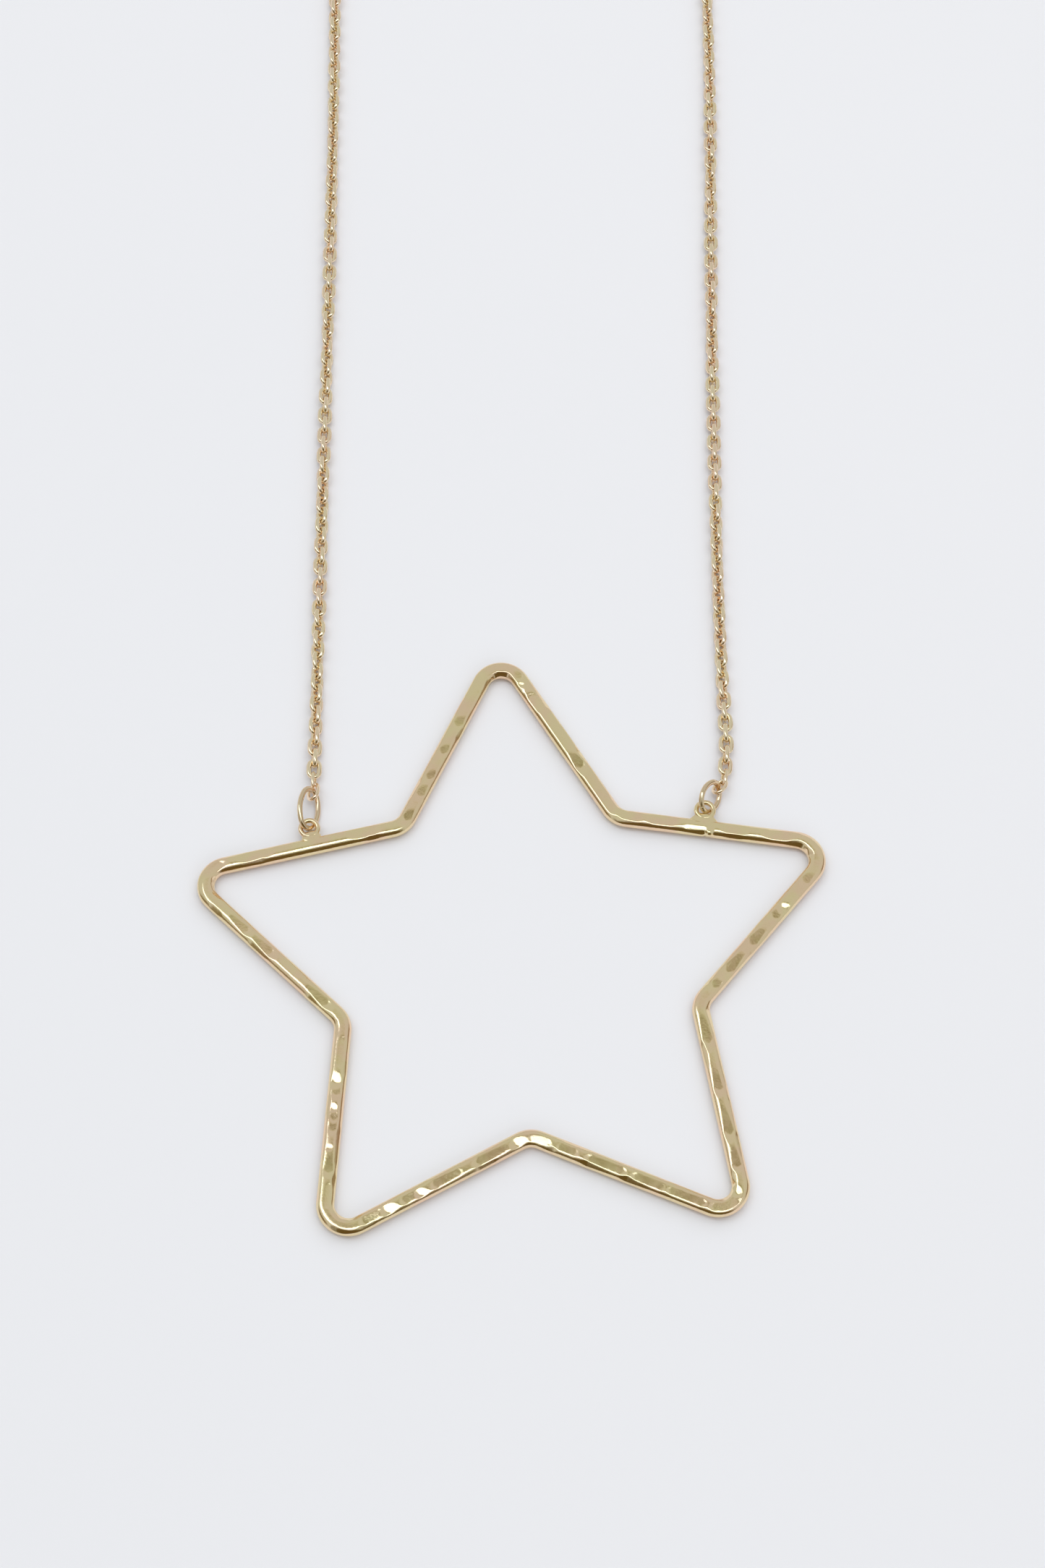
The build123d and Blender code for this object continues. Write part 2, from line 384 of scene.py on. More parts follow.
# How deep the top of each side is beaten flat, in mm. The two shoulders stay round. The depth
# holds between these two shares of a side, changes over the corners and waves a little
FLAT_DEPTHS = [0.095, 0.09, 0.0, 0.02, 0.035, 0.085, 0.085, 0.06, 0.09, 0.0]
FLAT_SHARES = (0.12, 0.88)
FLAT_WAVE_DEPTH = 0.03 * MM
FLAT_WAVE_STEP = 1.3 * MM

# The skin is thinned by up to this depth, in longer waves
THINNING = 0.03 * MM
THINNING_STEP = 2.6 * MM

# Hammer faces. Each row: side, mm along it from its first corner, length in mm, depth in mm,
# roll of the face towards the star's outside and lean of the face forward along the side, in degrees
HAMMER_FACES = [
    (0, 1.8, 2.6, 0.12, 0, 0),
    (0, 6.1, 0.8, 0.13, -13, 0),
    (0, 7.5, 2.6, 0.16, -4, -4.5),
    (0, 10.0, 2.0, 0.11, 28, 0),
    (0, 12.4, 2.0, 0.12, 8, 2),
    (0, 14.8, 2.0, 0.15, -5, 1),
    (0, 17.5, 0.7, 0.13, -12, -4),
    (0, 18.4, 1.1, 0.14, -3, -4),
    (1, 4.4, 1.2, 0.12, 12, -3),
    (1, 6.6, 2.2, 0.11, -5, 1),
    (1, 9.2, 1.6, 0.15, -3, 5),
    (1, 10.0, 0.5, 0.12, -3, -6),
    (1, 12.8, 1.3, 0.13, -3, 5),
    (1, 16.0, 1.2, 0.13, -3, 5),
    (1, 17.8, 1.7, 0.12, -3, 4),
    (1, 20.8, 1.6, 0.14, -3, 5),
    (2, 3.9, 2.4, 0.15, 4, 0),
    (2, 7.0, 2.6, 0.06, 20, 0),
    (2, 11.2, 3.0, 0.05, 20, 0),
    (2, 14.8, 2.6, 0.13, 4, 1),
    (2, 19.0, 1.5, 0.16, 1, 0),
    (3, 7.9, 2.3, 0.11, 1, 3),
    (3, 11.0, 2.7, 0.11, 1, 3),
    (3, 14.6, 2.4, 0.06, -6, 0),
    (3, 18.6, 2.8, 0.12, 1, 3),
    (4, 3.4, 2.8, 0.08, -5, 0),
    (4, 5.8, 1.5, 0.10, 2, 8),
    (4, 7.1, 1.3, 0.09, -1, 2.7),
    (4, 8.95, 0.6, 0.09, 2, 7),
    (4, 9.8, 1.0, 0.10, -1, 3),
    (4, 10.7, 1.3, 0.09, -1, 2.5),
    (4, 12.9, 0.5, 0.07, 2, 6),
    (4, 14.1, 2.6, 0.10, -1, 2.5),
    (4, 17.6, 2.2, 0.07, -6, 0),
    (5, 5.3, 2.0, 0.13, 2, -1),
    (5, 7.4, 1.5, 0.14, 6, -6),
    (5, 9.3, 1.6, 0.13, 2, -1),
    (5, 10.7, 1.2, 0.14, 6, -6),
    (5, 13.2, 3.0, 0.13, 2, -1),
    (5, 17.9, 3.2, 0.13, 2, -1),
    (5, 21.2, 1.7, 0.12, 6, -5),
    (6, 1.0, 2.0, 0.12, 7, 1),
    (6, 3.8, 1.8, 0.12, 2, 0),
    (6, 7.7, 3.6, 0.13, 2.2, 0),
    (6, 12.0, 3.0, 0.13, 2.2, 0),
    (6, 15.8, 3.6, 0.13, 2.2, 0),
    (6, 19.6, 2.6, 0.13, 2.2, 0),
    (7, 2.9, 1.0, 0.11, -6, -7),
    (7, 6.3, 2.1, 0.12, -2, -3),
    (7, 10.2, 3.4, 0.12, -2, -2.6),
    (7, 14.3, 2.6, 0.12, -2, -3),
    (7, 19.6, 3.6, 0.12, -2, -2.6),
    (8, 2.6, 1.2, 0.12, 2, -5),
    (8, 5.6, 2.9, 0.15, 2, -4.5),
    (8, 9.2, 2.6, 0.15, 2, -4.5),
    (8, 12.3, 1.5, 0.13, 2, -5),
    (8, 13.5, 1.0, 0.14, 5, -11),
    (8, 17.4, 1.8, 0.13, 2, -4.5),
    (9, 5.8, 2.4, 0.15, 2, 0),
    (9, 10.2, 2.0, 0.13, 2, 0),
    (9, 14.1, 2.0, 0.05, -18, 0),
    (9, 17.5, 2.4, 0.13, 3, 0),
    (9, 20.8, 2.0, 0.12, 2, 0),
]

# Half of a face's width, as a share of its length between two limits
HALF_WIDTH_SHARE = 0.36
HALF_WIDTH_LEAST = 0.28 * MM
HALF_WIDTH_MOST = 0.72 * MM

# Rounding between two faces, steepness of the wall round a face, share of its depth that a face
# bows up at its rim, and rounding between a face and the round skin, whose powers stay in a limit
FACE_EDGE = 0.006 * MM
FACE_WALL = 0.25
FACE_BOW = 0.12
SKIN_EDGE = 0.034 * MM
POWER_LIMIT = 40

# A face cuts the skin only where the cosine between their directions is above the least facing,
# and up to its reach in mm past its own ends
LEAST_FACING = 0.25
FACE_REACH = 1.2

# A face that rolls by less than this many degrees starts from the side's flat, so its bow follows
# only the depth that it adds, or this least depth in mm
FLAT_ROLL_LIMIT = 20
LEAST_EXTRA_DEPTH = 0.015

# Small faces scattered at random along every side, whose length this is in mm. Each lies within its
# own part of the side, and the other ranges are of the same values as in the table
SIDE_RUN = 22.11
SMALL_FACES_ON_SHOULDER = 5
SMALL_FACES_ON_SIDE = 7
SMALL_FACE_PLACES = (0.1, 0.9)
SMALL_FACE_LENGTHS = (0.8, 2.4)
SMALL_FACE_DEPTHS = (0.02, 0.05)
SMALL_FACE_ROLLS = (22, 46)
SMALL_FACE_LEANS = (-3, 3)

# Wrinkles inside the bend of every tip, the first at this place along the side, in mm
WRINKLE_COUNT = 5
FIRST_WRINKLE = 20.5
WRINKLE_STEP = 0.55
WRINKLE_LENGTHS = (0.5, 0.9)
WRINKLE_DEPTHS = (0.03, 0.07)
WRINKLE_ROLLS = (-62, -34)
WRINKLE_LEANS = (-8, 8)

# Groove of the seam, full on the rod's inner side, slight on its top and gone outside. Its share of
# the depth is the start, less how far the skin faces out and a part of how far it faces up
SEAM_SHARE = 0.405
SEAM_DEPTH = 0.10 * MM
SEAM_WIDTH = 0.10 * MM
SEAM_FADE_START = 0.6
SEAM_FADE_ON_TOP = 0.5

# Solder beside the seam: its height, half of its length, and a power that keeps it to the edge
SEAM_SOLDER = 0.22 * MM
SEAM_SOLDER_HALF = 0.36 * MM
SEAM_SOLDER_POWER = 1.5
random = np.random.default_rng(14)


def seeded_faces():
    """Small faces scattered along every side, and wrinkles inside the bend of every tip."""
    faces = []
    for side in range(len(corners)):
        on_shoulder = side in (LEFT_SHOULDER, RIGHT_SHOULDER)
        count = SMALL_FACES_ON_SHOULDER if on_shoulder else SMALL_FACES_ON_SIDE
        for number in range(count):
            place = SIDE_RUN * (number + random.uniform(*SMALL_FACE_PLACES)) / count
            roll = random.choice((-1, 1)) * random.uniform(*SMALL_FACE_ROLLS)
            depth = random.uniform(*SMALL_FACE_DEPTHS)
            length = random.uniform(*SMALL_FACE_LENGTHS)
            lean = random.uniform(*SMALL_FACE_LEANS)
            faces.append((side, place, length, depth, roll, lean))
        ends_at_tip = side % 2 == 0
        for number in range(WRINKLE_COUNT if ends_at_tip else 0):
            place = FIRST_WRINKLE + WRINKLE_STEP * number
            roll = random.uniform(*WRINKLE_ROLLS)
            depth = random.uniform(*WRINKLE_DEPTHS)
            length = random.uniform(*WRINKLE_LENGTHS)
            lean = random.uniform(*WRINKLE_LEANS)
            faces.append((side, place, length, depth, roll, lean))
    return faces


def wave(step):
    """A smooth random wave between -1 and 1 along the whole centreline."""
    count = round(star_length / step)
    knots = np.arange(count) * star_length / count
    values = random.uniform(-1, 1, count)
    smooth = (np.roll(values, 1) + 2 * values + np.roll(values, -1)) / 3
    return np.interp(distances, knots, np.clip(smooth, -1, 1), period=star_length)


def beaten_flat():
    """Depth of the flat along the whole centreline: one value a side, waved a little."""
    knots, depths = [], []
    for side, depth in enumerate(FLAT_DEPTHS):
        for share in FLAT_SHARES:
            knots.append(side_place(side, share))
            depths.append(depth * MM)
    flat = np.interp(distances, knots, depths, period=star_length)
    waved = flat + wave(FLAT_WAVE_STEP) * FLAT_WAVE_DEPTH
    return np.where(flat > 0, np.maximum(waved, 0), 0)


def cut_below(facing, level):
    """How far a cut at a level goes below the skin, along the skin's normals."""
    toward = section_normals @ facing
    cut = (section @ facing - level) / np.maximum(toward, LEAST_FACING)
    return np.where(toward > LEAST_FACING, cut, -1)


def face_cut(run, length, depth, extra, roll, lean):
    """How far one hammer face cuts below the skin, for stations at a run from its middle."""
    facing = np.array([sin(radians(roll)), cos(radians(roll))])
    crosswise = np.array([cos(radians(roll)), -sin(radians(roll))])
    height = section @ facing
    beside = (section - section[np.argmax(height)]) @ crosswise
    half_length = length / 2
    half_width = min(max(HALF_WIDTH_SHARE * length, HALF_WIDTH_LEAST), HALF_WIDTH_MOST)
    reach = np.hypot(run[:, None] / half_length, beside[None, :] / half_width)
    bow = FACE_BOW * extra * np.minimum(reach, 1) ** 2
    wall = FACE_WALL * np.sqrt(half_length * half_width) * np.maximum(reach - 1, 0)
    tilt = tan(radians(lean)) * np.clip(run, -half_length, half_length)
    return cut_below(facing, height.max() - depth - tilt[:, None] + bow + wall)


def hammered_depth():
    """How far each point of the star's skin is beaten in, stations by section points."""
    upward = np.array([0, 1])
    deepest = cut_below(upward, (section @ upward).max() - beaten_flat()[:, None])
    for side, place, length, depth, roll, lean in HAMMER_FACES + seeded_faces():
        run = distances - (side_starts[side] + bend_length(side) / 2 + place * MM - bend_reach(side))
        run = (run + star_length / 2) % star_length - star_length / 2
        near = np.abs(run) < (length / 2 + FACE_REACH) * MM
        flat_depth = FLAT_DEPTHS[side] if abs(roll) < FLAT_ROLL_LIMIT else 0
        extra = max(depth - flat_depth, LEAST_EXTRA_DEPTH)
        cut = face_cut(run[near], length * MM, depth * MM, extra * MM, roll, lean)
        higher = np.maximum(deepest[near], cut)
        lower = np.minimum(deepest[near], cut)
        deepest[near] = higher + FACE_EDGE * np.log1p(np.exp((lower - higher) / FACE_EDGE))
    power = np.clip(deepest / SKIN_EDGE, -POWER_LIMIT, POWER_LIMIT)
    depth = SKIN_EDGE * np.log1p(np.exp(power))
    return depth + seam_depth() + THINNING * (0.5 + 0.5 * wave(THINNING_STEP))[:, None]


def seam_depth():
    """The groove of the seam, and the solder that squares the rod's inner edge beside it."""
    run = distances - side_place(RIGHT_SHOULDER, 1 - SEAM_SHARE)
    across, up = section_normals.T
    inward = np.clip(SEAM_FADE_START - across - SEAM_FADE_ON_TOP * up, 0, 1)
    groove = SEAM_DEPTH * np.exp(-((run / SEAM_WIDTH) ** 2))[:, None] * inward[None, :]
    slanting = np.clip(-2 * across * up, 0, 1) ** SEAM_SOLDER_POWER
    band = np.exp(-(((run + SEAM_SOLDER_HALF) / SEAM_SOLDER_HALF) ** 4))
    return groove - SEAM_SOLDER * band[:, None] * slanting[None, :]


def star_skin():
    """Points and faces of the hammered rod."""
    profile = section[None, :, :] - section_normals[None, :, :] * hammered_depth()[:, :, None]
    outer = np.stack([tangents[:, 1], -tangents[:, 0], 0 * tangents[:, 0]], -1)
    middle = places + np.array([0, 0, WIRE_THICKNESS / 2])
    up = np.array([0, 0, 1.0])
    points = middle[:, None, :] + outer[:, None, :] * profile[:, :, :1] + up * profile[:, :, 1:]
    return points.reshape(-1, 3), grid_faces(len(places), len(section))


def shoulder_point(inner, tip, share, outward):
    """A point beside a shoulder: a share of it from its inner corner, and out from the star."""
    run = tip - inner
    out = run.cross(Vector((0, 0, 1))).normalized()
    if out.y < 0:
        out = -out
    return inner + run * share + out * outward


loop_offset = WIRE_WIDTH / 2 + LOOP_DIAMETER / 2 - LOOP_SINK
loop_level = Vector((0, 0, LOOP_HEIGHT))
left_loop = shoulder_point(left_inner, left_tip, LEFT_LOOP_SHARE, loop_offset) + loop_level
right_loop = shoulder_point(right_inner, right_tip, RIGHT_LOOP_SHARE, loop_offset) + loop_level


def hanging_loop(centre):
    """A round loop that lies flat beside the shoulder."""
    placement = Matrix.Translation(centre)
    angles = np.arange(LOOP_STEPS) * 2 * pi / LOOP_STEPS
    out = np.stack([np.cos(angles), np.sin(angles)], -1)
    line = out * (LOOP_DIAMETER - LOOP_WIRE) / 2
    points = wire_ring(line, out, LOOP_WIRE, LOOP_WIRE, LOOP_SIDES)
    return placed(points, placement), grid_faces(LOOP_STEPS, LOOP_SIDES)


# Solder that joins a loop to its shoulder. Each row: distance out from the rod's centreline in mm,
# half of its length along the rod, height of its middle and half of its thickness, in mm
SOLDER_SECTIONS = [
    (-0.05, 0.45, 1.00, 0.25),
    (0.12, 0.85, 1.03, 0.31),
    (0.28, 1.02, 1.035, 0.325),
    (0.42, 1.12, 1.02, 0.33),
    (0.56, 1.18, 1.00, 0.34),
    (0.72, 1.18, 0.99, 0.34),
    (0.90, 1.10, 0.99, 0.32),
    (1.05, 1.00, 1.00, 0.29),
    (1.18, 0.92, 1.02, 0.26),
    (1.32, 0.84, 1.04, 0.22),
    (1.48, 0.66, 1.05, 0.14),
]
SOLDER_POINTS = 28

# The solder is rough only past this distance from the rod's centreline, in mm. Towards the rod the
# left lump narrows and the right one widens, by these factors 1 mm in from its last section
SOLDER_GRAIN = 0.02 * MM
SMOOTH_SOLDER_REACH = 0.8
LEFT_SOLDER_SPREAD = 0.8
RIGHT_SOLDER_SPREAD = 1.3


def solder(loop, run, spread):
    """A lump of solder between a loop and its shoulder, spread at the rod, a little rough."""
    along = run.normalized()
    out = along.cross(Vector((0, 0, 1)))
    if out.y < 0:
        out = -out
    angles = np.arange(SOLDER_POINTS) * 2 * pi / SOLDER_POINTS
    rows = []
    for distance, half_length, height, half_thickness in SOLDER_SECTIONS:
        widening = 1 + (spread - 1) * (SOLDER_SECTIONS[-1][0] - distance)
        middle = loop + out * (distance * MM - loop_offset)
        middle.z = height * MM
        beside = np.cos(angles)[:, None] * np.array(along) * half_length * widening * MM
        rise = np.sin(angles)[:, None] * np.array([0, 0, half_thickness * MM])
        roughness = SOLDER_GRAIN if distance > SMOOTH_SOLDER_REACH else 0
        grain = random.uniform(-1, 1, (SOLDER_POINTS, 1)) * roughness * np.array([0, 0, 1])
        rows.append(np.array(middle) + beside + rise + grain)
    faces = grid_faces(len(rows), SOLDER_POINTS, closed_rows=False).tolist()
    faces.append(list(range(SOLDER_POINTS))[::-1])
    faces.append(list(range((len(rows) - 1) * SOLDER_POINTS, len(rows) * SOLDER_POINTS)))
    return np.concatenate(rows), faces


# Materials. The tint, the wear and the grain each follow a noise: its scale and detail, and the
# part of its values that is spread from one end of the look to the other
TINT_SCALE = 380
TINT_DETAIL = 2
TINT_VALUES = (0.38, 0.62)
WEAR_SCALE = 900
WEAR_DETAIL = 4
WEAR_VALUES = (0.3, 0.7)
GRAIN_SCALE = 4500
GRAIN_DETAIL = 3
GRAIN_DEPTH = 0.02 * MM


def gold(name, tints, roughness, bump):
    """Polished plate that varies a little in tint and gloss, with a fine grain."""
    material = bpy.data.materials.new(name)
    material.use_nodes = True
    nodes, links = material.node_tree.nodes, material.node_tree.links
    shader = nodes["Principled BSDF"]
    shader.inputs["Metallic"].default_value = 1.0
    place = nodes.new("ShaderNodeTexCoord")

    def noise(scale, detail):
        node = nodes.new("ShaderNodeTexNoise")
        node.inputs["Scale"].default_value = scale
        node.inputs["Detail"].default_value = detail
        links.new(place.outputs["Object"], node.inputs["Vector"])
        return node

    def spread(source, values, look):
        node = nodes.new("ShaderNodeMapRange")
        node.inputs["From Min"].default_value = values[0]
        node.inputs["From Max"].default_value = values[1]
        node.inputs["To Min"].default_value = look[0]
        node.inputs["To Max"].default_value = look[1]
        links.new(source.outputs["Fac"], node.inputs["Value"])
        return node.outputs["Result"]

    tint = nodes.new("ShaderNodeMix")
    tint.data_type = "RGBA"
    tint.inputs["A"].default_value = (*tints[0], 1)
    tint.inputs["B"].default_value = (*tints[1], 1)
    patches = spread(noise(TINT_SCALE, TINT_DETAIL), TINT_VALUES, (0, 1))
    links.new(patches, tint.inputs["Factor"])
    links.new(tint.outputs["Result"], shader.inputs["Base Color"])

    gloss = spread(noise(WEAR_SCALE, WEAR_DETAIL), WEAR_VALUES, roughness)
    links.new(gloss, shader.inputs["Roughness"])

    grain = noise(GRAIN_SCALE, GRAIN_DETAIL)
    relief = nodes.new("ShaderNodeBump")
    relief.inputs["Strength"].default_value = bump
    relief.inputs["Distance"].default_value = GRAIN_DEPTH
    links.new(grain.outputs["Fac"], relief.inputs["Height"])
    links.new(relief.outputs["Normal"], shader.inputs["Normal"])
    return material


# Two tints of each gold, its range of roughness and the strength of its grain
STAR_TINTS = [(0.90, 0.745, 0.455), (0.93, 0.695, 0.48)]
RING_TINTS = [(0.82, 0.665, 0.44), (0.83, 0.637, 0.445)]
CHAIN_TINTS = [(0.945, 0.79, 0.555), (0.96, 0.755, 0.56)]
star_gold = gold("star_gold", STAR_TINTS, roughness=(0.09, 0.17), bump=0.35)
ring_gold = gold("ring_gold", RING_TINTS, roughness=(0.07, 0.14), bump=0.2)
chain_gold = gold("chain_gold", CHAIN_TINTS, roughness=(0.07, 0.15), bump=0.25)

# The star, its loops and their solder
star_parts = [
    star_skin(),
    hanging_loop(left_loop),
    hanging_loop(right_loop),
    solder(left_loop, left_tip - left_inner, LEFT_SOLDER_SPREAD),
    solder(right_loop, right_inner - right_tip, RIGHT_SOLDER_SPREAD),
]
star = new_piece("star", star_parts, star_gold)
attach(star, "root")
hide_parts("star_frame")


# Jump rings


def oval_depth(length, width, end_radius, slope, lean):
    """How far an oval's centreline reaches below its centre when it slopes and leans."""
    reach = length / 2 - end_radius
    side_radius = (reach**2 + (width / 2) ** 2 - end_radius**2) / (2 * (width / 2 - end_radius))
    side_centre = side_radius - width / 2
    down_along = abs(sin(radians(slope)))
    down_across = abs(sin(radians(lean)) * cos(radians(slope)))
    steepness = hypot(down_along, down_across)
    if atan2(down_across, down_along) < atan2(side_centre, reach):
        return reach * down_along + end_radius * steepness
    return side_radius * steepness - side_centre * down_across


def jump_ring(name, loop_centre, length, heading, slope, lean, seat, cut_angle):
    """An oval jump ring through a hanging loop, with the cut where it was closed."""
    inner_length, inner_width = length - JUMP_RING_WIRE, JUMP_RING_WIDTH - JUMP_RING_WIRE
    along = heading_vector(heading, slope)
    near = loop_centre + Vector((*seat, 0)) * MM
    depth = oval_depth(inner_length, inner_width, JUMP_RING_END_RADIUS, slope, lean)
    centre = near + along * (inner_length / 2)
    centre.z = JUMP_RING_WIRE / 2 + depth
    placement = leaning_frame(centre, heading, slope, lean)
    steps, sides = JUMP_RING_STEPS, JUMP_RING_SIDES
    half_cut = JUMP_RING_CUT / (2 * JUMP_RING_END_RADIUS)
    angles = np.linspace(half_cut, 2 * pi - half_cut, steps) + radians(cut_angle)
    line, out = oval_line(angles, inner_length, inner_width, JUMP_RING_END_RADIUS)
    points = wire_ring(line, out, JUMP_RING_WIRE, JUMP_RING_WIRE, sides)
    faces = grid_faces(steps, sides, closed_rows=False).tolist()
    faces.append(list(range(sides))[::-1])
    faces.append(list(range((steps - 1) * sides, steps * sides)))
    ring = new_piece(name + "_wire", [(placed(points, placement), faces)], ring_gold)
    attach(ring, "root")
    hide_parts(name)


# Each row: name, loop, length, heading, slope and lean in degrees, seat from the loop's centre
# in mm, and angle of the cut round the ring in degrees
JUMP_RINGS = [
    ("jump_ring_left", left_loop, 4.7 * MM, 7, 2, 48, (-0.22, 0.02), -50),
    ("jump_ring_right", right_loop, 3.75 * MM, 29, 0, 51, (-0.12, -0.06), 150),
]
for ring_row in JUMP_RINGS:
    jump_ring(*ring_row)


# Chain


def read_route(route):
    """Points along the smooth NURBS line that has the route as its control points."""
    curve = bpy.data.curves.new("route", "CURVE")
    curve.dimensions = "3D"
    curve.resolution_u = ROUTE_STEPS
    spline = curve.splines.new("NURBS")
    spline.points.add(len(route) - 1)
    for point, place in zip(spline.points, route):
        point.co = (*(STAR_CENTRE + Vector(place) * MM), 1)
    spline.order_u = 3
    spline.use_endpoint_u = True
    holder = bpy.data.objects.new("route", curve)
    mesh = bpy.data.meshes.new_from_object(holder)
    line = np.array([vertex.co for vertex in mesh.vertices])
    bpy.data.objects.remove(holder)
    bpy.data.curves.remove(curve)
    bpy.data.meshes.remove(mesh)
    return line


def end_link(far_end, heading, slope, lean, stretch):
    """The wider link at an end of a strand, stretched past the far end of its route."""
    length = END_LINK_LENGTH + stretch
    ring_end = far_end - heading_vector(heading, slope) * (END_LINK_LENGTH - END_LINK_WIRE)
    centre = ring_end + heading_vector(heading, slope) * (length - END_LINK_WIRE) / 2
    placement = leaning_frame(centre, heading, slope, lean)
    size = (length, END_LINK_WIDTH, END_LINK_END_RADIUS, END_LINK_WIRE, END_LINK_WIRE)
    return closed_ring(placement, *size, END_LINK_STEPS, END_LINK_SIDES)


def strand(name, route, twist, first_heading, first_slope, last_heading, stretch):
    """A strand of separate links along its route, each turned a quarter from the last."""
    line = read_route(route)
    way = np.concatenate([[0], np.cumsum(np.linalg.norm(np.diff(line, axis=0), axis=1))])

    def at(distance):
        return np.array([np.interp(distance, way, line[:, axis]) for axis in range(3)])

    half = (LINK_LENGTH - LINK_WIRE) / 2
    last = way[-1] - half + END_LINK_WIRE / 2 + LINK_WIRE / 2 + LINK_SLACK / 2
    first = way[-1] - last + stretch
    run = last - first
    gaps = ceil(run / (LINK_LENGTH - 2 * LINK_WIRE - LINK_SLACK))
    parts = [end_link(Vector(line[0]), first_heading, first_slope, STAR_LINK_LEAN, stretch)]
    parts.append(end_link(Vector(line[-1]), last_heading, 0, CLASP_LINK_LEAN, 0))
    twist_places, twist_turns = zip(*twist)
    for number in range(gaps + 1):
        distance = first + run * number / gaps
        back, ahead = at(distance - half), at(distance + half)
        if distance < half:
            back = at(0) - (half - distance) * (at(half) - at(0)) / half
        if distance + half > way[-1]:
            ahead = at(way[-1]) + (distance + half - way[-1]) * (at(way[-1]) - at(way[-1] - half)) / half
        turns = np.interp(distance / MM, twist_places, twist_turns) + number + 1
        turns += random.uniform(-LINK_JITTER, LINK_JITTER)
        roll = turns * pi / 2
        settled = LINK_WIRE / 2 + (LINK_WIDTH - LINK_WIRE) / 2 * max(abs(sin(roll)), abs(cos(roll)))
        centre = Vector((back + ahead) / 2)
        centre.z += settled - CHAIN_RADIUS
        along = Vector(ahead - back).normalized()
        left = Vector((-along.y, along.x, 0)).normalized()
        across = left * cos(roll) + along.cross(left) * sin(roll)
        placement = Matrix((along, across, along.cross(across))).transposed().to_4x4()
        placement.translation = centre
        size = (LINK_LENGTH, LINK_WIDTH, LINK_END_RADIUS, LINK_WIRE, LINK_SIDE_WIRE)
        if number == 0:
            placement.translation.z -= FIRST_LINK_DROP
            thin = FIRST_LINK_WIRE
            size = (FIRST_LINK_LENGTH, FIRST_LINK_WIDTH, FIRST_LINK_END_RADIUS, thin, thin)
        parts.append(closed_ring(placement, *size, LINK_STEPS, LINK_SIDES))
    chain = new_piece(name + "_links", parts, chain_gold)
    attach(chain, "root")
    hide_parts(name)


# Each row: name, route, twist, heading and slope of the end link at the star, heading of the one
# at the clasp, in degrees, and stretch of the one at the star
STRANDS = [
    ("chain_left", LEFT_ROUTE, LEFT_TWIST, 3, -27, -90, LEFT_STAR_LINK_STRETCH),
    ("chain_right", RIGHT_ROUTE, RIGHT_TWIST, 35, -10, 90, 0),
]
for strand_row in STRANDS:
    strand(*strand_row)

# The clasp and its rings keep their solids
for node in ("clasp", "clasp_ring", "end_ring"):
    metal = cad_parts[node]
    metal.data.materials.clear()
    metal.data.materials.append(ring_gold)

# Pale floor
FLOOR_HALF = 1.5
FLOOR_COLOR = (0.895, 0.87, 0.915, 1)
FLOOR_ROUGHNESS = 0.6
FLOOR_SPECULAR = 0.2
floor_mesh = bpy.data.meshes.new("floor")
floor_corners = [(-1, -1, 0), (1, -1, 0), (1, 1, 0), (-1, 1, 0)]
floor_mesh.from_pydata([Vector(c) * FLOOR_HALF for c in floor_corners], [], [(0, 1, 2, 3)])
floor = bpy.data.objects.new("floor", floor_mesh)
bpy.context.scene.collection.objects.link(floor)
floor_paint = bpy.data.materials.new("floor_paint")
floor_paint.use_nodes = True
floor_shader = floor_paint.node_tree.nodes["Principled BSDF"]
floor_shader.inputs["Base Color"].default_value = FLOOR_COLOR
floor_shader.inputs["Roughness"].default_value = FLOOR_ROUGHNESS
floor_shader.inputs["Specular IOR Level"].default_value = FLOOR_SPECULAR
floor_mesh.materials.append(floor_paint)


# Light: a pale room with darker patches overhead, to the south and low on both sides. Each row:
# direction of a patch, angles from it in degrees where it starts to fade and where it ends, colour
ROOM_COLOR = (0.59, 0.615, 0.59)
ROOM_PATCHES = [
    ((0, 0.2, 1), 6, 14, (0.53, 0.54, 0.43)),
    ((0, 0.16, 1), 4.5, 9, (0.30, 0.29, 0.19)),
    ((0, -0.93, 0.36), 27, 48, (0.13, 0.09, 0.03)),
    ((-0.95, -0.2, 0.2), 8, 28, (0.24, 0.19, 0.10)),
    ((0.95, 0.1, 0.14), 6, 24, (0.30, 0.24, 0.16)),
]


def room_light():
    """The room around the scene, with each patch laid over those before it."""
    world = bpy.data.worlds.new("room")
    bpy.context.scene.world = world
    world.use_nodes = True
    nodes, links = world.node_tree.nodes, world.node_tree.links
    background = nodes["Background"]
    direction = nodes.new("ShaderNodeTexCoord")

    light = None
    for towards, inner, outer, color in ROOM_PATCHES:
        aim = nodes.new("ShaderNodeVectorMath")
        aim.operation = "DOT_PRODUCT"
        aim.inputs[1].default_value = Vector(towards).normalized()
        links.new(direction.outputs["Generated"], aim.inputs[0])
        fade = nodes.new("ShaderNodeMapRange")
        fade.interpolation_type = "SMOOTHSTEP"
        fade.inputs["From Min"].default_value = cos(radians(outer))
        fade.inputs["From Max"].default_value = cos(radians(inner))
        links.new(aim.outputs["Value"], fade.inputs["Value"])
        mix = nodes.new("ShaderNodeMix")
        mix.data_type = "RGBA"
        mix.inputs["A"].default_value = (*ROOM_COLOR, 1)
        mix.inputs["B"].default_value = (*color, 1)
        if light is not None:
            links.new(light, mix.inputs["A"])
        links.new(fade.outputs["Result"], mix.inputs["Factor"])
        light = mix.outputs["Result"]
    links.new(light, background.inputs["Color"])


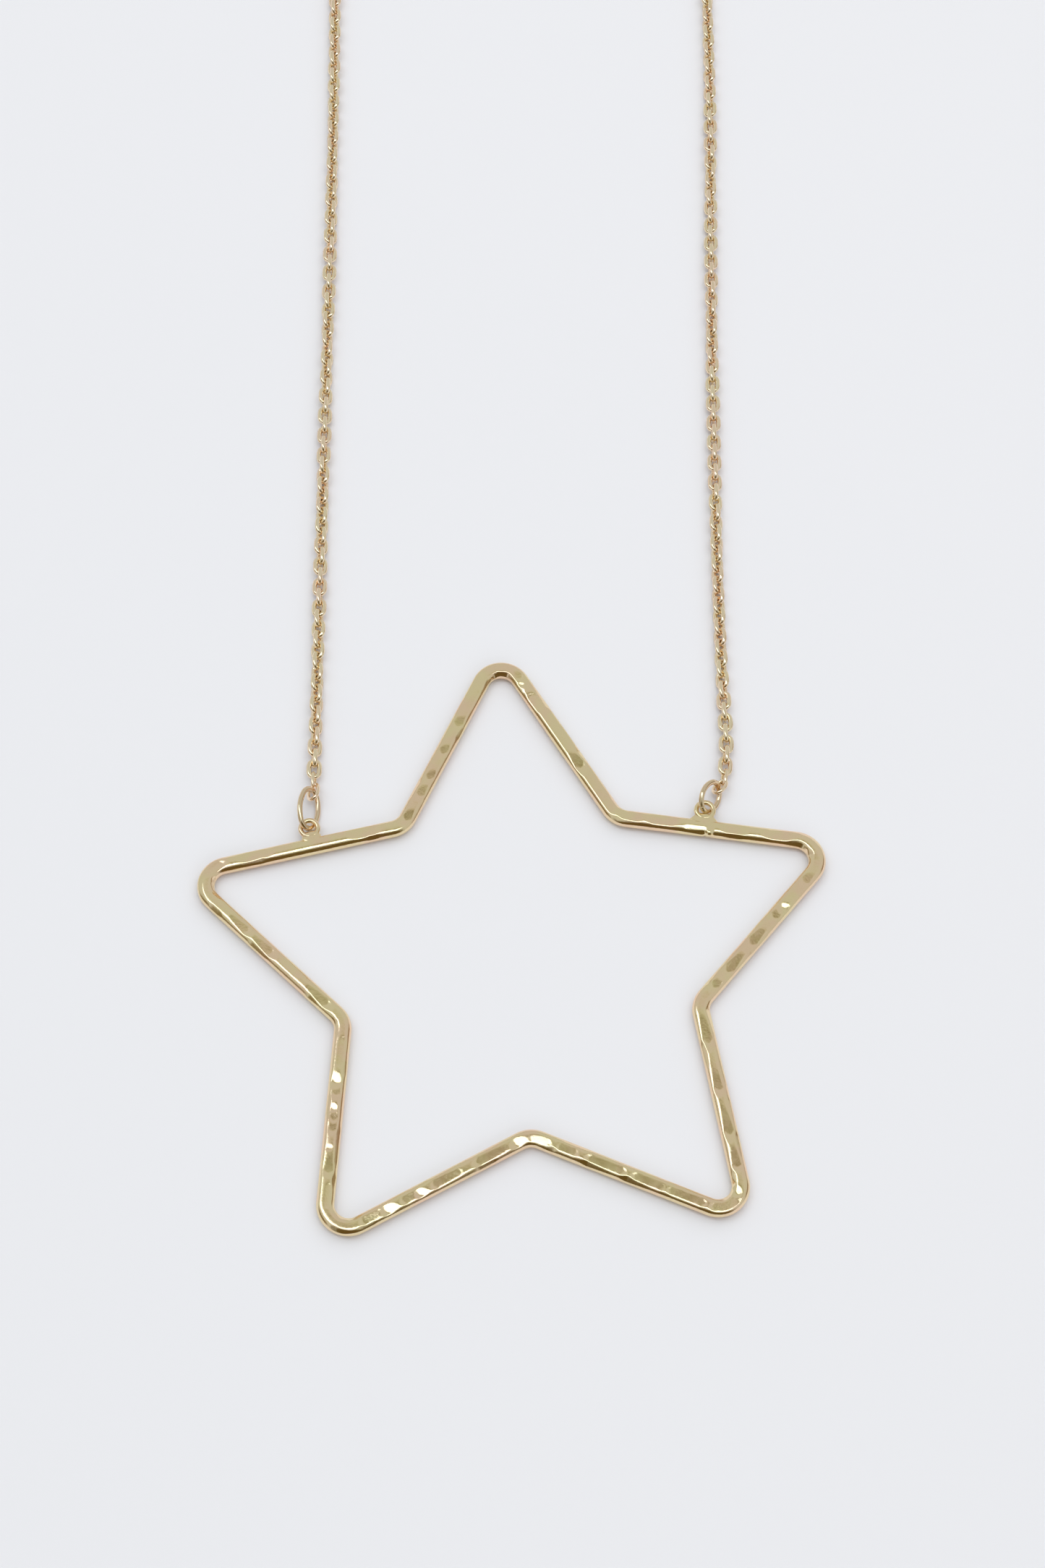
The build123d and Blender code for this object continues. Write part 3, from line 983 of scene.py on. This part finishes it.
def area_light(name, place, aim, size, power, color):
    """A soft lamp that the camera doesn't see."""
    light = bpy.data.lights.new(name, "AREA")
    light.shape = "RECTANGLE"
    light.size, light.size_y = size
    light.energy = power
    light.color = color
    lamp = bpy.data.objects.new(name, light)
    bpy.context.scene.collection.objects.link(lamp)
    lamp.location = place
    lamp.rotation_euler = (Vector(aim) - Vector(place)).to_track_quat("-Z", "Y").to_euler()
    lamp.visible_camera = False
    return lamp


room_light()

# A long soft window overhead to the west, which makes the highlights. It faces down
WINDOW_PLACE = (-0.40, 0.048, 1.0)
WINDOW_AIM = (-0.40, 0.048, 0.0)
WINDOW_TURN = radians(153.4)
WINDOW_SIZE = (1.57, 0.32)
WINDOW_POWER = 2.6
WINDOW_COLOR = (0.84, 1.0, 1.12)
window = area_light("window", WINDOW_PLACE, WINDOW_AIM, WINDOW_SIZE, WINDOW_POWER, WINDOW_COLOR)
window.rotation_euler = (0, 0, WINDOW_TURN)

# Two white fills that light the floor and make no highlights on the metal.
# Each row: name, place, point that it is aimed at, size and power
FILLS = [
    ("north_fill", (0.15, 0.25, 0.5), (0.1, 0.1, 0), (0.8, 0.8), 1.35),
    ("south_fill", (0.1, -0.75, 0.45), (0, -0.1, 0), (0.9, 0.5), 1.3),
]
for fill_row in FILLS:
    fill = area_light(*fill_row, (1, 1, 1))
    fill.visible_glossy = False

# Camera, fitted to the star's ten corners in the photograph
CAMERA_TARGET = STAR_CENTRE + Vector((1.56, 19.08, 0)) * MM
CAMERA_TURN = radians(6.626)
CAMERA_ELEVATION = radians(64.573)
CAMERA_ROLL = radians(3.499)
CAMERA_DISTANCE = 281.6 * MM
CAMERA_LENS = 64.43
CAMERA_SENSOR = 36
CAMERA_NEAREST = 10 * MM
camera_data = bpy.data.cameras.new("camera")
camera_data.lens = CAMERA_LENS
camera_data.sensor_width = CAMERA_SENSOR
camera_data.clip_start = CAMERA_NEAREST
camera = bpy.data.objects.new("camera", camera_data)
bpy.context.scene.collection.objects.link(camera)
back = Vector(
    (
        -sin(CAMERA_TURN) * cos(CAMERA_ELEVATION),
        -cos(CAMERA_TURN) * cos(CAMERA_ELEVATION),
        sin(CAMERA_ELEVATION),
    )
)
level_right = (-back).cross(Vector((0, 0, 1))).normalized()
level_up = level_right.cross(-back)
right = level_right * cos(CAMERA_ROLL) + level_up * sin(CAMERA_ROLL)
up = level_up * cos(CAMERA_ROLL) - level_right * sin(CAMERA_ROLL)
view = Matrix((right, up, back)).transposed().to_4x4()
view.translation = CAMERA_TARGET + back * CAMERA_DISTANCE
camera.matrix_world = view
bpy.context.scene.camera = camera
bpy.context.scene.view_settings.view_transform = "Standard"
